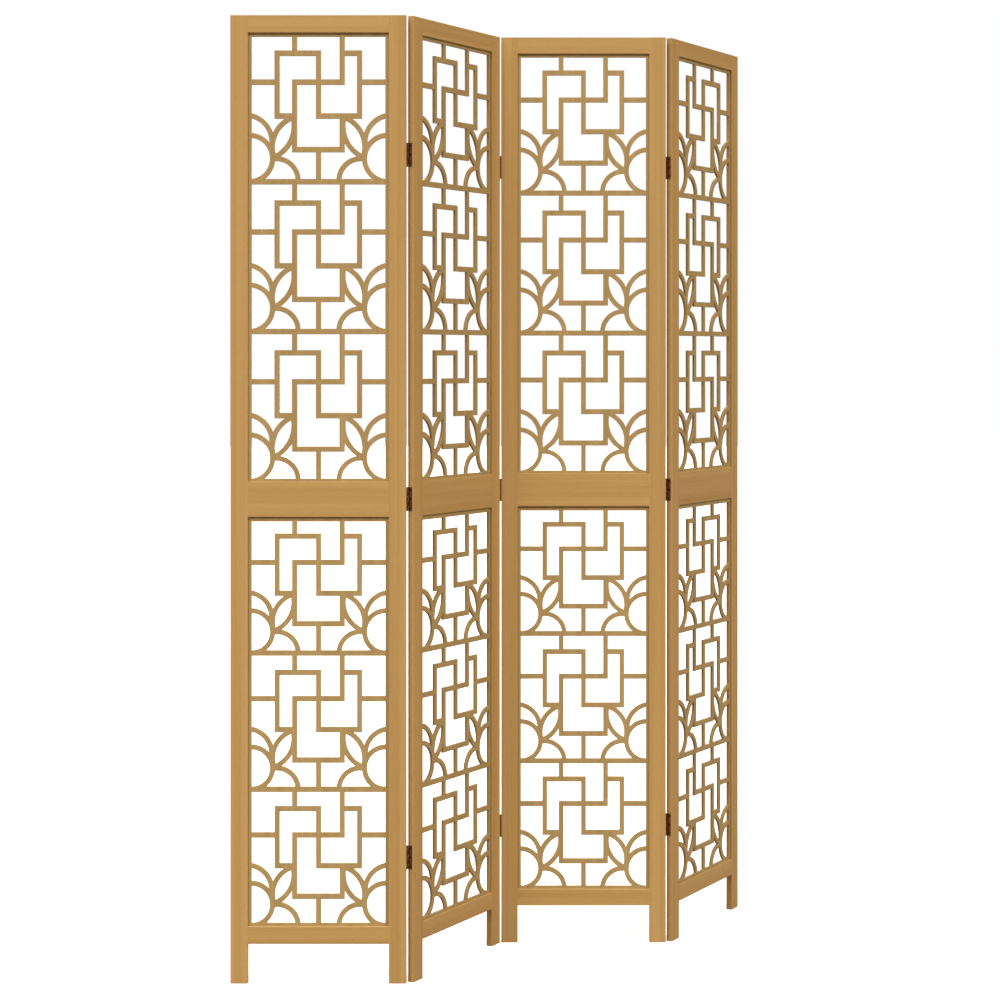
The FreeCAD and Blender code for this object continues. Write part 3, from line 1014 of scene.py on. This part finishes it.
turns = int((SCREW_LENGTH + THREAD_TOP) / PITCH * RINGS_PER_TURN)
profile = [(0.05 * MM, -SCREW_LENGTH)]
for ring in range(1, turns + 1):
    height = -SCREW_LENGTH + ring * PITCH / RINGS_PER_TURN
    profile.append((SCREW_RADIUS * min(1, (height + SCREW_LENGTH) / TIP), height))
profile += [
    (SCREW_RADIUS, -HEAD_DEPTH),
    (SCREW_HEAD_RADIUS, -RIM),
    (SCREW_HEAD_RADIUS, -RIM / 2),
    (SCREW_HEAD_RADIUS - RIM / 2, 0),
]

RECESS_REACH = 1.3 * MM
RECESS_WIDTH = 0.42 * MM
RECESS_DEPTH = 0.55 * MM
punch_shape = bmesh.new()
for angle in (0, 90):
    arm = bmesh.ops.create_cube(punch_shape, size=1)["verts"]
    for vertex in arm:
        low_end = vertex.co.z < 0
        vertex.co.x *= 2 * RECESS_REACH * (0.35 if low_end else 1)
        vertex.co.y *= RECESS_WIDTH * (0.7 if low_end else 1)
        vertex.co.z = -RECESS_DEPTH if low_end else RIM
    bmesh.ops.rotate(punch_shape, verts=arm, matrix=Matrix.Rotation(math.radians(angle), 3, "Z"))
punch = as_model("punch", punch_shape)
mesh = cut(turned_shape(profile, SCREW_SEGMENTS, thread), punch, crossing=True)
bpy.data.objects.remove(punch)
screw = as_object("screw", mesh)
print("one screw, faces:", len(mesh.polygons))

for panel in PANELS:
    node = f"panel_{panel}_hinge_screws"
    spots = []
    for solid in solids_of(node, panel):
        left, right = extent(solid, 0)
        outwards = 1 if right > PANEL_WIDTH / 2 else -1
        head = middle_of(solid)
        head.x = right if outwards > 0 else left
        spots.append((head, (outwards, 0, 0)))
    mesh = run_tree(places_mesh(spots), set_out, {"Piece": screw, "Material": screw_metal})
    add_arris(mesh, lambda normal: 0.75 < abs(normal.x) < 0.98)
    smooth(mesh)
    set_piece(node + "_set", mesh, panel, [node], screw_metal)
    print("panel", panel, "screws:", len(spots))

# %% [markdown]
# A butt hinge has two stamped leaves. Their knuckles take turns round the pin. The shape is
# already exact in the CAD model, with its countersunk holes, but stamped metal has no knife
# edges. So each leaf is a copy of its CAD node, joined up, with its flat faces merged and its
# sharp edges bevelled by a tenth of a millimetre. The bevels are the arrises that wear bright.

# %% Hinge leaves
LEAF_BEVEL = 0.1 * MM
SHARP = math.radians(35)
FLAT = math.radians(0.5)
LEVELS = ("top", "middle", "bottom")


def leaf(node, panel):
    """A hinge leaf with its edges eased, in its panel's own frame."""
    made = welded_copy(node, panel)
    arris = made.faces.layers.float.new("arris")
    bmesh.ops.dissolve_limit(made, angle_limit=FLAT, verts=made.verts, edges=made.edges)
    made.normal_update()
    sharp = [edge for edge in made.edges if edge.is_manifold and edge.calc_face_angle() > SHARP]
    settings = {"offset": LEAF_BEVEL, "segments": 1, "affect": "EDGES", "clamp_overlap": True}
    eased = bmesh.ops.bevel(made, geom=sharp, **settings)
    for face in eased["faces"]:
        face[arris] = 1
    bmesh.ops.remove_doubles(made, verts=made.verts, dist=WELD)
    return as_mesh(made, node)


for fold in FOLDS:
    for level in LEVELS:
        for side, panel in (("left", fold), ("right", fold + 1)):
            node = f"fold_{fold}_{level}_hinge_{side}_leaf"
            mesh = leaf(node, panel)
            smooth(mesh)
            set_piece(node + "_stamped", mesh, panel, [node], hinge_metal)
print("one leaf, faces:", len(mesh.polygons))

# %% [markdown]
# A pin is a plain rod with a low domed head at each end, a little larger than its hole, so that
# it can't drop out. All three pins of a fold ride with the left panel of that fold.

# %% Hinge pins
PIN_RADIUS = 0.75 * MM
PIN_HEAD_RADIUS = 1.35 * MM
PIN_HEAD_HEIGHT = 0.6 * MM
DOME_STEPS = 5
PIN_SEGMENTS = 24


def pin_profile(length):
    """A pin's outline between the faces that its heads sit on."""
    dome = []
    for step in range(DOME_STEPS + 1):
        angle = math.radians(90) * step / DOME_STEPS
        radius = max(PIN_HEAD_RADIUS * math.cos(angle), 0.1 * MM)
        dome.append((radius, PIN_HEAD_HEIGHT * math.sin(angle)))
    top = [(radius, length / 2 + height) for radius, height in dome]
    foot = [(radius, -length / 2 - height) for radius, height in reversed(dome)]
    return foot + [(PIN_RADIUS, -length / 2), (PIN_RADIUS, length / 2)] + top


for fold in FOLDS:
    node = f"fold_{fold}_hinge_pins"
    solids = solids_of(node, fold)
    spots = [(middle_of(solid), (0, 0, 1)) for solid in solids]
    low, high = extent(solids[-1], 2)
    length = high - low - 2 * PIN_HEAD_HEIGHT
    pin = as_model("pin", turned_shape(pin_profile(length), PIN_SEGMENTS))
    mesh = run_tree(places_mesh(spots), set_out, {"Piece": pin, "Material": pin_metal})
    add_arris(mesh, lambda normal: 0.3 < abs(normal.z) < 0.8)
    smooth(mesh, 50)
    set_piece(node + "_rods", mesh, fold, [node], pin_metal)
    bpy.data.objects.remove(pin)
for model in (dowel, screw):
    bpy.data.objects.remove(model)
print("pins per fold:", len(spots))

# %% [markdown]
# The screen stands on a plain white floor in a white room, with hardly a shadow. A white floor
# would also throw light up under every rail, which the photograph doesn't have. A Light Path node
# tells the two apart: the camera sees the floor white, while the light that it gives back to the
# wood is weak. The floor isn't part of the object.

# %% Floor
FLOOR_SIZE = 60.0
FLOOR_SEEN = (0.85, 0.85, 0.85, 1)
FLOOR_BOUNCE = (0.2, 0.2, 0.2, 1)
FLOOR_LIFT = 0.6
WHITE = (1, 1, 1, 1)
floor_material, tree, shader = new_material("floor")
seen = add(tree, "ShaderNodeLightPath").outputs["Is Camera Ray"]
values = {
    "Base Color": blend(tree, seen, FLOOR_BOUNCE, FLOOR_SEEN),
    "Emission Strength": maths(tree, "MULTIPLY", seen, FLOOR_LIFT),
    "Emission Color": WHITE,
    "Roughness": 0.9,
    "Specular IOR Level": 0.0,
}
fill(tree, shader, values)
made = bmesh.new()
bmesh.ops.create_grid(made, x_segments=1, y_segments=1, size=FLOOR_SIZE / 2)
floor = as_model("floor", made)
floor.data.materials.append(floor_material)

# %% [markdown]
# The light can be read from the shadows. A narrow dark line beside each fold and under each top
# rail needs a fairly small light, high up and a little to the left. The wider, paler shade down
# the right side of each window needs a broad light far to the right, and the first third of the
# third panel, which the second one shades, a broad one far to the left. A weak light behind keeps
# the back from going dark. The room's own glow is dim and warm, since shaded wood in the
# photograph is redder than lit wood, but the camera sees the room white.

# %% Light
ROOM_GLOW = (0.36, 0.24, 0.13, 1)
SUNS = {
    "key": (-28, 51, 1.85, 14),
    "right": (58, 43, 2.08, 40),
    "left": (-55, 43, 1.15, 40),
    "back": (180, 20, 1.6, 60),
}

scene.view_settings.view_transform = "Standard"
room = bpy.data.worlds.new("room")
room.use_nodes = True
scene.world = room
tree = room.node_tree
dome = tree.nodes["Background"]
seen = add(tree, "ShaderNodeLightPath").outputs["Is Camera Ray"]
fill(tree, dome, {"Color": blend(tree, seen, ROOM_GLOW, WHITE)})

for name, (turn, height, strength, disc) in SUNS.items():
    light = bpy.data.lights.new(name, "SUN")
    light.energy = strength
    light.angle = math.radians(disc)
    sun = bpy.data.objects.new(name, light)
    sun.rotation_euler = (math.radians(90 - height), 0, math.radians(turn))
    scene.collection.objects.link(sun)
    print(name, "sun at", turn, "degrees round and", height, "up")

# %% [markdown]
# The camera was fitted to the corners of the panels in the photograph: it stands five metres in
# front of the first panel at chest height, level, with a long lens. Its frame is shifted down to
# take in the feet, and a little to one side.

# %% Camera
CAMERA_FROM_CORNER = Vector((0.65572, -5.14044))
CAMERA_HEIGHT = 1.428
LENS = 81.489
FRAME_SHIFT = (-0.01895, -0.145)

camera_data = bpy.data.cameras.new("camera")
camera_data.lens = LENS
camera_data.sensor_width = 36
camera_data.shift_x, camera_data.shift_y = FRAME_SHIFT
camera = bpy.data.objects.new("camera", camera_data)
camera.location = (*(first_corner.xy + CAMERA_FROM_CORNER), CAMERA_HEIGHT)
camera.rotation_euler = (math.radians(90), 0, 0)
scene.collection.objects.link(camera)
scene.camera = camera
